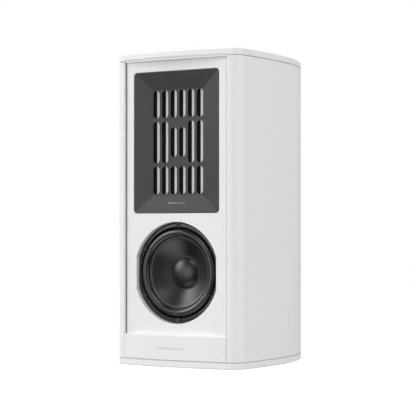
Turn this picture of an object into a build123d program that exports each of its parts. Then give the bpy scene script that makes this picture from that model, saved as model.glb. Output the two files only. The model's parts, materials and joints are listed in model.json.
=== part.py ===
from build123d import *
import os
from math import acos, asin, degrees, radians, sin

# A passive bookshelf speaker: a shell with a bowed front and tapering sides between two plates, a
# planar magnetic driver above a cone woofer on a recessed baffle, and the port and terminals behind.
# Millimetres. +Z is up and the speaker faces -Y. The origin is the middle of the footprint, on the
# underside of the bottom plate.

# ---- Cabinet ----
HEIGHT = 440.0
WIDTH = 210.0
DEPTH = 260.0
FRONT = -DEPTH / 2  # y of the foremost line of the bowed front
REAR = DEPTH / 2
PLATE_THICKNESS = 9.0  # the bottom plate; the top plate is a little thinner
TOP_PLATE_THICKNESS = 8.6
GROOVE_HEIGHT = 1.2  # shadow groove between each plate and the shell
GROOVE_DEPTH = 2.5
WALL = 12.0

# ---- Plan outline: every arc is tangent to the next ----
BOW_RADIUS = 481.0
FRONT_CORNER_RADIUS = 18.0
SIDE_RADIUS = 560.0
SIDE_TURN = 9.0  # degrees turned by the first side arc
TAPER_RADIUS = 290.0
TAPER_TURN = 21.0
REAR_CORNER_RADIUS = 20.0

# ---- Front recess ----
RECESS_HALF_WIDTH = 86.2
BAFFLE_FACE = FRONT + 11.3  # y of the baffle's front face
BAFFLE_THICKNESS = 20.0
BAFFLE_HALF_WIDTH = 83.9
BAFFLE_TOP = 428.9
TRIM_TOP = 44.2
TRIM_HALF_WIDTH = 85.9
BAFFLE_GAP = 0.2  # between the baffle or the trim plate and what is above or below it
RECESS_DEPTH = 40.0  # how far back the shell is open at the front
DRIVER_OPENING_RADIUS = 63.6

# ---- Planar driver ----
FACEPLATE_WIDTH = 143.5
FACEPLATE_HEIGHT = 198.9
FACEPLATE_Z = 314.35
FACEPLATE_THICKNESS = 8.5
FACEPLATE_CORNER = 5.0
POCKET_GAP = 0.3  # clearance round the faceplate in its pocket
GASKET_THICKNESS = 0.4
FIELD_WIDTH = 85.0  # the flat slotted field inside the dish
FIELD_HEIGHT = 148.4
FIELD_Z = 314.4
FIELD_Y = FRONT + 17.1
GRILLE_THICKNESS = 2.5
SLOT_PITCH = 14.74
SLOT_WIDTH = 10.37
SLOT_COLUMNS = 6
SLOT_ROWS = ((241.2, 280.6), (285.0, 344.0), (348.6, 387.8))
SHORT_SLOT = (293.6, 335.2)  # the middle pair of columns in the middle row
FOIL_Y = FRONT + 27.8
FOIL_THICKNESS = 0.3
FRAME_WIDTH = 116.0
FRAME_HEIGHT = 172.0
WINDOW_WIDTH = 98.0
WINDOW_HEIGHT = 154.0
MAGNET_WIDTH = 4.0

# ---- Woofer ----
WOOFER_Z = 131.35
FLANGE_RADIUS = 71.0
FLANGE_HALF_WIDTH = 67.1
FLANGE_Y = FRONT + 19.9
FLANGE_THICKNESS = 3.5
SEAT_Y = FLANGE_Y + 2.9  # ledge that the surround is glued to, sunk below the flange
SEAT_RADIUS = 64.0
SCREW_CIRCLE = 66.8
WOOFER_SCREW_LENGTH = 8.4
WOOFER_SCREW_RADIUS = 2.0
WOOFER_HEAD_RADIUS = 3.4
WOOFER_HEAD_HEIGHT = 2.6
FLANGE_GAP = 0.25  # clearance round the flange in its pocket
WOOFER_GASKET_THICKNESS = 1.0
ROLL_OUTER = 61.5
ROLL_INNER = 50.6
ROLL_Y = FRONT + 19.5
ROLL_HEIGHT = 5.5
CAP_RADIUS = 24.0
FORMER_RADIUS = 19.4
FORMER_WALL = 0.4

# ---- Rear ----
PORT_Z = 332.0
PORT_RADIUS = 22.0
PORT_WALL = 3.0
PORT_LENGTH = 125.0
PORT_FLANGE_RADIUS = 35.0
TERMINAL_Z = 92.0
TERMINAL_SIZE = 72.0
TERMINAL_THICKNESS = 3.0
TERMINAL_SCREW_SPACING = 62.0
POST_SPACING = 38.0
POST_RADIUS = 3.0
POST_INNER_LENGTH = 16.0  # behind the cabinet's rear face
BUSH_RADIUS = 5.0
TERMINAL_SCREW_RADIUS = 1.7
TERMINAL_SCREW_LENGTH = 9.0
SOCKET_RADIUS = 2.05
KNOB_RADIUS = 7.6
THREAD_CLEARANCE = 0.06

# ---- Stand fixings ----
STAND_SPACING_X = 100.0
STAND_SPACING_Y = 120.0
STAND_HOLE_RADIUS = 3.0

SHELL_BOTTOM = PLATE_THICKNESS + GROOVE_HEIGHT
SHELL_TOP = HEIGHT - TOP_PLATE_THICKNESS - GROOVE_HEIGHT

os.makedirs("parts", exist_ok=True)


def save(piece, name):
    """Label a finished piece and write it as the STEP file of that name."""
    piece.part.label = name
    export_step(piece.part, f"parts/{name}.step")


def outline(inset, z):
    """Footprint of the cabinet at height z, moved in by inset all round."""
    corner_x = WIDTH / 2 - FRONT_CORNER_RADIUS
    to_corner = BOW_RADIUS - FRONT_CORNER_RADIUS
    bow_turn = degrees(asin(corner_x / to_corner))
    taper_length = SIDE_RADIUS * sin(radians(SIDE_TURN)) + TAPER_RADIUS * (
        sin(radians(SIDE_TURN + TAPER_TURN)) - sin(radians(SIDE_TURN))
    )
    rear_corner_length = REAR_CORNER_RADIUS * (1 - sin(radians(SIDE_TURN + TAPER_TURN)))
    flank_end = REAR - taper_length - rear_corner_length
    with BuildSketch(Plane.XY.offset(z)) as footprint:
        with BuildLine():
            bow = JernArc((0, FRONT + inset), (1, 0), BOW_RADIUS - inset, bow_turn)
            corner = JernArc(bow @ 1, bow % 1, FRONT_CORNER_RADIUS - inset, 90 - bow_turn)
            flank = Line(corner @ 1, (WIDTH / 2 - inset, flank_end))
            side = JernArc(flank @ 1, (0, 1), SIDE_RADIUS - inset, SIDE_TURN)
            taper = JernArc(side @ 1, side % 1, TAPER_RADIUS - inset, TAPER_TURN)
            rear_turn = 90 - SIDE_TURN - TAPER_TURN
            rear_corner = JernArc(taper @ 1, taper % 1, REAR_CORNER_RADIUS - inset, rear_turn)
            Line(rear_corner @ 1, (0, REAR - inset))
            mirror(about=Plane.YZ)
        make_face()
    return footprint.sketch


def facing(y, z=0.0):
    """Upright plane at depth y seen from the front: local x is X, local y is Z, normal is -Y."""
    return Plane(origin=(0, y, z), x_dir=(1, 0, 0), z_dir=(0, -1, 0))


def add_block(x_low, x_high, y_low, y_high, z_low, z_high, mode=Mode.ADD):
    """Box between two corners; it joins the part being built."""
    centre = ((x_low + x_high) / 2, (y_low + y_high) / 2, (z_low + z_high) / 2)
    with Locations(centre):
        Box(x_high - x_low, y_high - y_low, z_high - z_low, mode=mode)


def half_section(z, *points):
    """Closed half-section of a turned piece on the axis at height z; points are (depth, radius)."""
    with BuildSketch(Plane(origin=(0, 0, z), x_dir=(0, 1, 0), z_dir=(1, 0, 0))) as section:
        with BuildLine():
            Polyline(*points, close=True)
        make_face()
    return section.sketch


def axis_at(z):
    return Axis((0, 0, z), (0, 1, 0))


# ======== Cabinet ========

with BuildPart() as bottom_plate:
    extrude(outline(0, 0), amount=PLATE_THICKNESS)
    chamfer(bottom_plate.faces().sort_by(Axis.Z)[0].edges(), length=1.4)
    extrude(outline(GROOVE_DEPTH, PLATE_THICKNESS), amount=GROOVE_HEIGHT)
    with BuildSketch() as insert_holes:
        with GridLocations(STAND_SPACING_X, STAND_SPACING_Y, 2, 2):
            Circle(STAND_HOLE_RADIUS + 1.5)
    extrude(amount=SHELL_BOTTOM, mode=Mode.SUBTRACT)
save(bottom_plate, "bottom_plate")

with BuildPart() as stand_inserts:
    with BuildSketch() as insert_rings:
        with GridLocations(STAND_SPACING_X, STAND_SPACING_Y, 2, 2):
            Circle(STAND_HOLE_RADIUS + 1.5)
            Circle(STAND_HOLE_RADIUS, mode=Mode.SUBTRACT)
    extrude(amount=SHELL_BOTTOM)
save(stand_inserts, "stand_inserts")

TOP_PLATE_BOTTOM = HEIGHT - TOP_PLATE_THICKNESS
FRONT_BEVEL = 1.7
STRIP_SETBACK = 2.0
STRIP_BOTTOM = BAFFLE_TOP + BAFFLE_GAP
FRONT_ZONE = 30.0  # depth behind the bow that takes in all of the front and none of the sides

# Wedge cut away under the plate's front edge, over the recess
with BuildPart() as front_bevel:
    with BuildSketch(Plane.XY.offset(TOP_PLATE_BOTTOM)) as bevel_zone:
        with Locations((0, FRONT)):
            Rectangle(2 * RECESS_HALF_WIDTH, 2 * FRONT_ZONE)
    extrude(amount=FRONT_BEVEL)
    add(outline(FRONT_BEVEL, TOP_PLATE_BOTTOM))
    add(outline(0, TOP_PLATE_BOTTOM + FRONT_BEVEL))
    loft(mode=Mode.SUBTRACT)

with BuildPart() as top_plate:
    extrude(outline(0, TOP_PLATE_BOTTOM), amount=TOP_PLATE_THICKNESS)
    chamfer(top_plate.faces().sort_by(Axis.Z)[-1].edges(), length=1.2)
    extrude(outline(GROOVE_DEPTH, SHELL_TOP), amount=GROOVE_HEIGHT)
    # Strip below the plate that closes the recess above the baffle
    with BuildSketch(Plane.XY.offset(STRIP_BOTTOM)) as strip:
        add(outline(STRIP_SETBACK, 0))
        with Locations((0, FRONT)):
            Rectangle(2 * TRIM_HALF_WIDTH, 2 * FRONT_ZONE, mode=Mode.INTERSECT)
    extrude(amount=TOP_PLATE_BOTTOM - STRIP_BOTTOM)
    add(front_bevel.part, mode=Mode.SUBTRACT)
save(top_plate, "top_plate")

with BuildPart() as cabinet_shell:
    shell_height = SHELL_TOP - SHELL_BOTTOM
    extrude(outline(0, SHELL_BOTTOM), amount=shell_height)
    extrude(outline(WALL, SHELL_BOTTOM), amount=shell_height, mode=Mode.SUBTRACT)
    add_block(-RECESS_HALF_WIDTH, RECESS_HALF_WIDTH, FRONT - 1, FRONT + RECESS_DEPTH, 0, HEIGHT,
              mode=Mode.SUBTRACT)
    lips = cabinet_shell.edges().filter_by(Axis.Z).filter_by(
        lambda edge: abs(abs(edge.center().X) - RECESS_HALF_WIDTH) < 0.1 and edge.center().Y < BAFFLE_FACE
    )
    fillet(lips, radius=0.9)
    with BuildSketch(facing(REAR + 1)) as rear_holes:
        with Locations((0, PORT_Z)):
            Circle(PORT_RADIUS + PORT_WALL + 0.1)
        with Locations((0, TERMINAL_Z)):
            Rectangle(TERMINAL_SIZE - 14, TERMINAL_SIZE - 14)
    extrude(amount=-20, both=True, mode=Mode.SUBTRACT)
    with BuildSketch(facing(REAR)) as rear_pockets:
        with Locations((0, PORT_Z)):
            Circle(PORT_FLANGE_RADIUS + 0.2)
        with Locations((0, TERMINAL_Z)):
            RectangleRounded(TERMINAL_SIZE + 0.4, TERMINAL_SIZE + 0.4, 4.2)
    extrude(amount=TERMINAL_THICKNESS, mode=Mode.SUBTRACT)
    with BuildSketch(facing(REAR, TERMINAL_Z)) as rear_pilots:
        with GridLocations(TERMINAL_SCREW_SPACING, TERMINAL_SCREW_SPACING, 2, 2):
            Circle(TERMINAL_SCREW_RADIUS)
    extrude(amount=TERMINAL_SCREW_LENGTH, mode=Mode.SUBTRACT)
save(cabinet_shell, "cabinet_shell")

with BuildPart() as front_baffle:
    add_block(
        -BAFFLE_HALF_WIDTH, BAFFLE_HALF_WIDTH, BAFFLE_FACE, BAFFLE_FACE + BAFFLE_THICKNESS,
        SHELL_BOTTOM + BAFFLE_GAP, BAFFLE_TOP,
    )
    with BuildSketch(facing(BAFFLE_FACE)) as driver_pockets:
        with Locations((0, FACEPLATE_Z)):
            RectangleRounded(
                FACEPLATE_WIDTH + 2 * POCKET_GAP, FACEPLATE_HEIGHT + 2 * POCKET_GAP,
                FACEPLATE_CORNER + POCKET_GAP,
            )
    extrude(amount=-FACEPLATE_THICKNESS - GASKET_THICKNESS, mode=Mode.SUBTRACT)
    chamfer(front_baffle.faces().sort_by(Axis.Y)[0].inner_wires()[0].edges(), length=0.5)
    with BuildSketch(facing(BAFFLE_FACE)) as woofer_pocket:
        with Locations((0, WOOFER_Z)):
            Circle(FLANGE_RADIUS + FLANGE_GAP)
            Rectangle(2 * (FLANGE_HALF_WIDTH + FLANGE_GAP), 2 * FLANGE_RADIUS + 1, mode=Mode.INTERSECT)
    extrude(amount=BAFFLE_FACE - FLANGE_Y - FLANGE_THICKNESS - WOOFER_GASKET_THICKNESS, mode=Mode.SUBTRACT)
    with BuildSketch(facing(BAFFLE_FACE)) as driver_openings:
        with Locations((0, WOOFER_Z)):
            Circle(DRIVER_OPENING_RADIUS)
        with Locations((0, FACEPLATE_Z)):
            Rectangle(FRAME_WIDTH + 1, FRAME_HEIGHT + 1)
    extrude(amount=-BAFFLE_THICKNESS - 1, mode=Mode.SUBTRACT)
    with BuildSketch(facing(FLANGE_Y, WOOFER_Z)) as screw_pilots:
        with PolarLocations(SCREW_CIRCLE, 6, start_angle=30):
            Circle(WOOFER_SCREW_RADIUS)
    extrude(amount=-WOOFER_SCREW_LENGTH, mode=Mode.SUBTRACT)
save(front_baffle, "front_baffle")

with BuildPart() as lower_trim_plate:
    with BuildSketch(Plane.XY.offset(SHELL_BOTTOM + BAFFLE_GAP)) as trim_section:
        add(outline(0, 0))
        with Locations((0, FRONT)):
            Rectangle(2 * TRIM_HALF_WIDTH, 2 * (BAFFLE_FACE - FRONT), mode=Mode.INTERSECT)
    extrude(amount=TRIM_TOP - SHELL_BOTTOM - BAFFLE_GAP)
    chamfer(lower_trim_plate.faces().sort_by(Axis.Z)[-1].edges().sort_by(Axis.Y)[0], length=0.6)
save(lower_trim_plate, "lower_trim_plate")

SEAL_FACE = BAFFLE_FACE + 2.0
BATTEN_Y = BAFFLE_FACE + BAFFLE_THICKNESS
BATTEN_DEPTH = 16.0
BATTEN_SCREW_X = 155.0
BATTEN_SCREW_PITCH = 170.0
BATTEN_SCREW_RADIUS = 2.0
BATTEN_HEAD_HEIGHT = 2.4
for side, sign in (("left", -1), ("right", 1)):
    with BuildPart() as side_seal:
        inner, outer = sorted((sign * BAFFLE_HALF_WIDTH, sign * RECESS_HALF_WIDTH))
        add_block(inner, outer, SEAL_FACE, BATTEN_Y, TRIM_TOP + 3, BAFFLE_TOP)
    save(side_seal, f"side_seal_{side}")

with BuildPart() as baffle_battens:
    for sign in (-1, 1):
        inner, outer = sorted((sign * 70.0, sign * (WIDTH / 2 - WALL - 0.1)))
        add_block(inner, outer, BATTEN_Y, BATTEN_Y + BATTEN_DEPTH, SHELL_BOTTOM + 6, SHELL_TOP - 6)
    with BuildSketch(facing(BATTEN_Y, HEIGHT / 2)) as batten_bores:
        with GridLocations(BATTEN_SCREW_X, BATTEN_SCREW_PITCH, 2, 3):
            Circle(BATTEN_SCREW_RADIUS)
    extrude(amount=-BATTEN_DEPTH, mode=Mode.SUBTRACT)
save(baffle_battens, "baffle_battens")

with BuildPart() as baffle_screws:
    with BuildSketch(facing(BATTEN_Y, HEIGHT / 2)) as screw_shanks:
        with GridLocations(BATTEN_SCREW_X, BATTEN_SCREW_PITCH, 2, 3):
            Circle(BATTEN_SCREW_RADIUS)
    extrude(amount=-BATTEN_DEPTH)
    with BuildSketch(facing(BATTEN_Y + BATTEN_DEPTH, HEIGHT / 2)) as screw_heads:
        with GridLocations(BATTEN_SCREW_X, BATTEN_SCREW_PITCH, 2, 3):
            Circle(2 * BATTEN_SCREW_RADIUS)
    extrude(amount=-BATTEN_HEAD_HEIGHT)
    with BuildSketch(facing(BATTEN_Y + BATTEN_DEPTH + BATTEN_HEAD_HEIGHT, HEIGHT / 2)) as screw_sockets:
        with GridLocations(BATTEN_SCREW_X, BATTEN_SCREW_PITCH, 2, 3):
            RegularPolygon(1.5, 6)
    extrude(amount=1.6, mode=Mode.SUBTRACT)
save(baffle_screws, "baffle_screws")

BRACE_Z = 203.5
with BuildPart() as internal_brace:
    with BuildSketch(Plane.XY.offset(BRACE_Z)) as brace_plan:
        add(outline(WALL + 0.1, 0))
        with Locations((0, FRONT)):
            Rectangle(WIDTH, 2 * (BATTEN_Y + BATTEN_DEPTH + 0.5 - FRONT), mode=Mode.SUBTRACT)
        with Locations((0, 10)):
            RectangleRounded(104, 130, 20, mode=Mode.SUBTRACT)
    extrude(amount=9.0)
save(internal_brace, "internal_brace")

with BuildPart() as damping_pads:
    with BuildSketch(Plane.XY.offset(BRACE_Z + 12)) as pad_plan:
        add(outline(WALL + 0.1, 0))
        add(outline(WALL + 5.5, 0), mode=Mode.SUBTRACT)
        with Locations((0, 5)):
            Rectangle(WIDTH, 130, mode=Mode.INTERSECT)
    extrude(amount=190)
save(damping_pads, "damping_pads")


# ======== Planar driver ========

def slot_field(y):
    """The grille's slots as a sketch at depth y."""
    with BuildSketch(facing(y)) as slots:
        for row, (low, high) in enumerate(SLOT_ROWS):
            for column in range(SLOT_COLUMNS):
                centre_pair = row == 1 and column in (2, 3)
                bottom, top = SHORT_SLOT if centre_pair else (low, high)
                x = (column - (SLOT_COLUMNS - 1) / 2) * SLOT_PITCH
                with Locations((x, (bottom + top) / 2)):
                    SlotOverall(top - bottom, SLOT_WIDTH, rotation=90)
    return slots.sketch


def frame_ring(y, depth, window_width, window_height):
    """Rectangular frame of the motor stack, from y backwards."""
    with BuildSketch(facing(y, FIELD_Z)) as ring:
        Rectangle(FRAME_WIDTH, FRAME_HEIGHT)
        Rectangle(window_width, window_height, mode=Mode.SUBTRACT)
    extrude(ring.sketch, amount=-depth)


GRILLE_BACK = FIELD_Y + GRILLE_THICKNESS
with BuildPart() as driver_faceplate:
    with BuildSketch(facing(BAFFLE_FACE, FACEPLATE_Z)) as faceplate_outline:
        RectangleRounded(FACEPLATE_WIDTH, FACEPLATE_HEIGHT, FACEPLATE_CORNER)
    extrude(amount=-FACEPLATE_THICKNESS)
    # The dish: four planar bevels down to the slotted field
    with BuildSketch(facing(BAFFLE_FACE, FACEPLATE_Z)) as dish_mouth:
        Rectangle(FACEPLATE_WIDTH - 2.0, FACEPLATE_HEIGHT - 2.0)
    with BuildSketch(facing(FIELD_Y - 0.3, FIELD_Z)) as dish_floor:
        Rectangle(FIELD_WIDTH, FIELD_HEIGHT)
    loft(mode=Mode.SUBTRACT)
    with BuildSketch(facing(BAFFLE_FACE, FIELD_Z)) as field_window:
        Rectangle(FIELD_WIDTH, FIELD_HEIGHT)
    extrude(amount=-FACEPLATE_THICKNESS, mode=Mode.SUBTRACT)
    with BuildSketch(facing(FIELD_Y, FIELD_Z)) as grille_pocket:
        Rectangle(WINDOW_WIDTH, WINDOW_HEIGHT + 2)
    extrude(amount=-FACEPLATE_THICKNESS, mode=Mode.SUBTRACT)
save(driver_faceplate, "driver_faceplate")

with BuildPart() as slotted_grille:
    with BuildSketch(facing(FIELD_Y, FIELD_Z)) as grille_outline:
        Rectangle(WINDOW_WIDTH - 0.4, WINDOW_HEIGHT + 1.6)
    extrude(amount=-GRILLE_THICKNESS)
    extrude(slot_field(FIELD_Y), amount=-GRILLE_THICKNESS, mode=Mode.SUBTRACT)
save(slotted_grille, "slotted_grille")

with BuildPart() as faceplate_gasket:
    with BuildSketch(facing(BAFFLE_FACE + FACEPLATE_THICKNESS, FACEPLATE_Z)) as gasket_outline:
        RectangleRounded(FACEPLATE_WIDTH - 1, FACEPLATE_HEIGHT - 1, 4.5)
        Rectangle(FRAME_WIDTH + 2, FRAME_HEIGHT + 2, mode=Mode.SUBTRACT)
    extrude(amount=-GASKET_THICKNESS)
save(faceplate_gasket, "faceplate_gasket")

FRONT_FRAME_DEPTH = FOIL_Y - 0.8 - (BAFFLE_FACE + FACEPLATE_THICKNESS)
MAGNET_DEPTH = FOIL_Y - 0.8 - GRILLE_BACK
with BuildPart() as front_frame:
    frame_ring(BAFFLE_FACE + FACEPLATE_THICKNESS, FRONT_FRAME_DEPTH, WINDOW_WIDTH, WINDOW_HEIGHT)
save(front_frame, "front_frame")

MAGNET_XS = [(column - SLOT_COLUMNS / 2) * SLOT_PITCH for column in range(1, SLOT_COLUMNS)]


def magnet_row(y, depth):
    """Bar magnets standing behind the webs, with a wider bar at each side."""
    for x in MAGNET_XS:
        add_block(
            x - MAGNET_WIDTH / 2, x + MAGNET_WIDTH / 2, y, y + depth,
            FIELD_Z - WINDOW_HEIGHT / 2, FIELD_Z + WINDOW_HEIGHT / 2,
        )
    for sign in (-1, 1):
        inner, outer = sorted((sign * 42.6, sign * WINDOW_WIDTH / 2))
        add_block(
            inner, outer, y, y + depth, FIELD_Z - WINDOW_HEIGHT / 2, FIELD_Z + WINDOW_HEIGHT / 2
        )


with BuildPart() as front_magnets:
    magnet_row(GRILLE_BACK, MAGNET_DEPTH)
save(front_magnets, "front_magnets")

TWEETER_LOW = SHORT_SLOT[0] - 3
TWEETER_HIGH = SHORT_SLOT[1] + 3
with BuildPart() as midrange_foil:
    with BuildSketch(facing(FOIL_Y, FIELD_Z)) as midrange_outline:
        Rectangle(WINDOW_WIDTH + 8, WINDOW_HEIGHT + 8)
        with Locations((0, (TWEETER_LOW + TWEETER_HIGH) / 2 - FIELD_Z)):
            Rectangle(2 * SLOT_PITCH + 1.4, TWEETER_HIGH - TWEETER_LOW + 1.0, mode=Mode.SUBTRACT)
    extrude(amount=-FOIL_THICKNESS)
save(midrange_foil, "midrange_foil")

with BuildPart() as tweeter_foil:
    with BuildSketch(facing(FOIL_Y, (TWEETER_LOW + TWEETER_HIGH) / 2)) as tweeter_outline:
        Rectangle(2 * SLOT_PITCH, TWEETER_HIGH - TWEETER_LOW)
    extrude(amount=-FOIL_THICKNESS)
save(tweeter_foil, "tweeter_foil")

with BuildPart() as foil_clamp:
    frame_ring(FOIL_Y - 0.8, 0.8, WINDOW_WIDTH, WINDOW_HEIGHT)
save(foil_clamp, "foil_clamp")

REAR_FRAME_Y = FOIL_Y + FOIL_THICKNESS
REAR_MAGNET_Y = REAR_FRAME_Y + 0.8
REAR_MAGNET_DEPTH = 7.0
with BuildPart() as rear_frame:
    frame_ring(REAR_FRAME_Y, 0.8 + REAR_MAGNET_DEPTH, WINDOW_WIDTH, WINDOW_HEIGHT)
save(rear_frame, "rear_frame")

with BuildPart() as rear_magnets:
    magnet_row(REAR_MAGNET_Y, REAR_MAGNET_DEPTH)
save(rear_magnets, "rear_magnets")

REAR_PLATE_Y = REAR_MAGNET_Y + REAR_MAGNET_DEPTH
with BuildPart() as rear_pole_plate:
    with BuildSketch(facing(REAR_PLATE_Y, FIELD_Z)) as rear_plate_outline:
        Rectangle(FRAME_WIDTH, FRAME_HEIGHT)
    extrude(amount=-GRILLE_THICKNESS)
    extrude(slot_field(REAR_PLATE_Y), amount=-GRILLE_THICKNESS, mode=Mode.SUBTRACT)
save(rear_pole_plate, "rear_pole_plate")

CHAMBER_Y = REAR_PLATE_Y + GRILLE_THICKNESS
CHAMBER_DEPTH = 42.0
with BuildPart() as rear_chamber:
    with BuildSketch(facing(CHAMBER_Y, FIELD_Z)) as chamber_outline:
        RectangleRounded(FRAME_WIDTH, FRAME_HEIGHT, 6)
    extrude(amount=-CHAMBER_DEPTH)
    with BuildSketch(facing(CHAMBER_Y, FIELD_Z)) as chamber_hollow:
        RectangleRounded(FRAME_WIDTH - 16, FRAME_HEIGHT - 16, 4)
    extrude(amount=-CHAMBER_DEPTH + 3, mode=Mode.SUBTRACT)
    fillet(rear_chamber.faces().sort_by(Axis.Y)[-1].edges(), radius=4)
save(rear_chamber, "rear_chamber")

with BuildPart() as driver_terminals:
    with BuildSketch(facing(CHAMBER_Y + CHAMBER_DEPTH, FIELD_Z)) as terminal_tabs:
        with GridLocations(14, 0, 4, 1):
            Rectangle(4.8, 0.8)
    extrude(amount=-8)
save(driver_terminals, "driver_terminals")


# ======== Woofer ========

def turned(*points, z=WOOFER_Z):
    revolve(half_section(z, *points), axis=axis_at(z))


BASKET_BACK = FRONT + 56.0
WASHER_DEPTH = 5.0
MAGNET_BACK = BASKET_BACK + WASHER_DEPTH + 16.0
SPIDER_Y = FRONT + 45.4
RIDGE_COUNT = 6
RIDGE_PITCH = 1.0
RIDGE_DEPTH = 0.35
ridges = []
for index in range(RIDGE_COUNT):
    ridge_start = 64.4 + RIDGE_PITCH * index
    ridges += [(FLANGE_Y, ridge_start + 0.3 * RIDGE_PITCH), (FLANGE_Y, ridge_start + 0.7 * RIDGE_PITCH)]
    ridges += [(FLANGE_Y + RIDGE_DEPTH, ridge_start + RIDGE_PITCH)]
with BuildPart() as woofer_basket:
    turned(
        (FLANGE_Y + RIDGE_DEPTH, SEAT_RADIUS), *ridges, (FLANGE_Y + RIDGE_DEPTH, FLANGE_RADIUS),
        (FLANGE_Y + FLANGE_THICKNESS, FLANGE_RADIUS),
        (FLANGE_Y + FLANGE_THICKNESS, 62.8), (FRONT + 28.0, 62.8), (FRONT + 52.0, 47.0),
        (BASKET_BACK, 47.0), (BASKET_BACK, 24.0), (BASKET_BACK - 2.5, 24.0),
        (BASKET_BACK - 2.5, 43.5), (SPIDER_Y + 3.0, 43.5), (SPIDER_Y + 3.0, 39.5),
        (SPIDER_Y + 0.3, 39.5), (SPIDER_Y + 0.3, 47.6), (FRONT + 27.0, 59.8),
        (SEAT_Y, 59.8), (SEAT_Y, SEAT_RADIUS),
    )
    # Flats at each side of the flange
    for sign in (-1, 1):
        inner, outer = sorted((sign * FLANGE_HALF_WIDTH, sign * (FLANGE_RADIUS + 2)))
        add_block(
            inner, outer, FLANGE_Y - 1, FLANGE_Y + FLANGE_THICKNESS + 1,
            WOOFER_Z - FLANGE_RADIUS, WOOFER_Z + FLANGE_RADIUS, mode=Mode.SUBTRACT,
        )
    # Windows between the six legs
    with BuildSketch(facing(FRONT + 30.0, WOOFER_Z)) as window_sectors:
        with PolarLocations(54, 6):
            Rectangle(30, 38)
    extrude(amount=-14, mode=Mode.SUBTRACT)
    with BuildSketch(facing(FLANGE_Y, WOOFER_Z)) as flange_holes:
        with PolarLocations(SCREW_CIRCLE, 6, start_angle=30):
            Circle(WOOFER_SCREW_RADIUS + 0.05)
    extrude(amount=-FLANGE_THICKNESS, mode=Mode.SUBTRACT)
save(woofer_basket, "woofer_basket")

GASKET_FRONT = FLANGE_Y + FLANGE_THICKNESS
GASKET_BACK = GASKET_FRONT + WOOFER_GASKET_THICKNESS
with BuildPart() as woofer_gasket:
    gasket_inner = DRIVER_OPENING_RADIUS + 0.1
    gasket_outer = SCREW_CIRCLE - WOOFER_SCREW_RADIUS - 0.2
    turned(
        (GASKET_FRONT, gasket_inner), (GASKET_FRONT, gasket_outer),
        (GASKET_BACK, gasket_outer), (GASKET_BACK, gasket_inner),
    )
save(woofer_gasket, "woofer_gasket")

with BuildPart() as woofer_screws:
    head_y = FLANGE_Y - WOOFER_HEAD_HEIGHT
    for outer, start, length in (
        (WOOFER_HEAD_RADIUS, head_y, WOOFER_HEAD_HEIGHT),
        (WOOFER_SCREW_RADIUS, FLANGE_Y, WOOFER_SCREW_LENGTH),
    ):
        with BuildSketch(facing(start, WOOFER_Z)) as screw_section:
            with PolarLocations(SCREW_CIRCLE, 6, start_angle=30):
                Circle(outer)
        extrude(amount=-length)
    with BuildSketch(facing(head_y, WOOFER_Z)) as hex_sockets:
        with PolarLocations(SCREW_CIRCLE, 6, start_angle=30):
            RegularPolygon(1.7, 6)
    extrude(amount=-1.8, mode=Mode.SUBTRACT)
save(woofer_screws, "woofer_screws")

with BuildPart() as woofer_surround:
    roll_centre = (ROLL_OUTER + ROLL_INNER) / 2
    roll_half = (ROLL_OUTER - ROLL_INNER) / 2
    skin = 0.8
    with BuildSketch(Plane(origin=(0, 0, WOOFER_Z), x_dir=(0, 1, 0), z_dir=(1, 0, 0))) as roll:
        with BuildLine():
            crest = ROLL_Y - ROLL_HEIGHT
            inner_face = ThreePointArc(
                (ROLL_Y, ROLL_INNER + skin), (crest + skin, roll_centre), (ROLL_Y, ROLL_OUTER - skin)
            )
            lip = Polyline(
                inner_face @ 1, (SEAT_Y, ROLL_OUTER - skin), (SEAT_Y, SEAT_RADIUS - 0.4),
                (SEAT_Y - skin, SEAT_RADIUS - 0.4), (SEAT_Y - skin, ROLL_OUTER), (ROLL_Y, ROLL_OUTER),
            )
            outer_face = ThreePointArc(lip @ 1, (crest, roll_centre), (ROLL_Y, ROLL_INNER))
            Polyline(
                outer_face @ 1, (ROLL_Y, ROLL_INNER - 2.2), (ROLL_Y + 0.3, ROLL_INNER - 2.2),
                (ROLL_Y + 0.3, ROLL_INNER + skin), inner_face @ 0,
            )
        make_face()
    revolve(axis=axis_at(WOOFER_Z))
save(woofer_surround, "woofer_surround")

CONE_Y = ROLL_Y + 0.3
CAP_Y = FRONT + 34.5
with BuildPart() as woofer_cone:
    turned(
        (CONE_Y, ROLL_INNER), (CONE_Y, ROLL_INNER - 2.6), (CAP_Y, CAP_RADIUS),
        (CAP_Y + 2.2, FORMER_RADIUS), (CAP_Y + 3.4, FORMER_RADIUS), (CAP_Y + 1.2, CAP_RADIUS),
        (CONE_Y + 1.0, ROLL_INNER - 1.6), (CONE_Y + 1.0, ROLL_INNER),
    )
save(woofer_cone, "woofer_cone")

CAP_HEIGHT = 8.0
with BuildPart() as dust_cap:
    with BuildSketch(Plane(origin=(0, 0, WOOFER_Z), x_dir=(0, 1, 0), z_dir=(1, 0, 0))) as cap_section:
        with BuildLine():
            rim = CAP_RADIUS - 0.6
            apex = CAP_Y - CAP_HEIGHT
            sphere = (rim**2 + CAP_HEIGHT**2) / (2 * CAP_HEIGHT)
            outer_turn = degrees(asin(rim / sphere))
            outer_dome = JernArc((apex, 0), (0, 1), sphere, -outer_turn)
            inner_sphere = sphere - 0.8
            inner_turn = degrees(acos((sphere - CAP_HEIGHT) / inner_sphere))
            inner_dome = JernArc((apex + 0.8, 0), (0, 1), inner_sphere, -inner_turn)
            Line(outer_dome @ 1, inner_dome @ 1)
            Line(inner_dome @ 0, outer_dome @ 0)
        make_face()
    revolve(axis=axis_at(WOOFER_Z))
save(dust_cap, "dust_cap")

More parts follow.
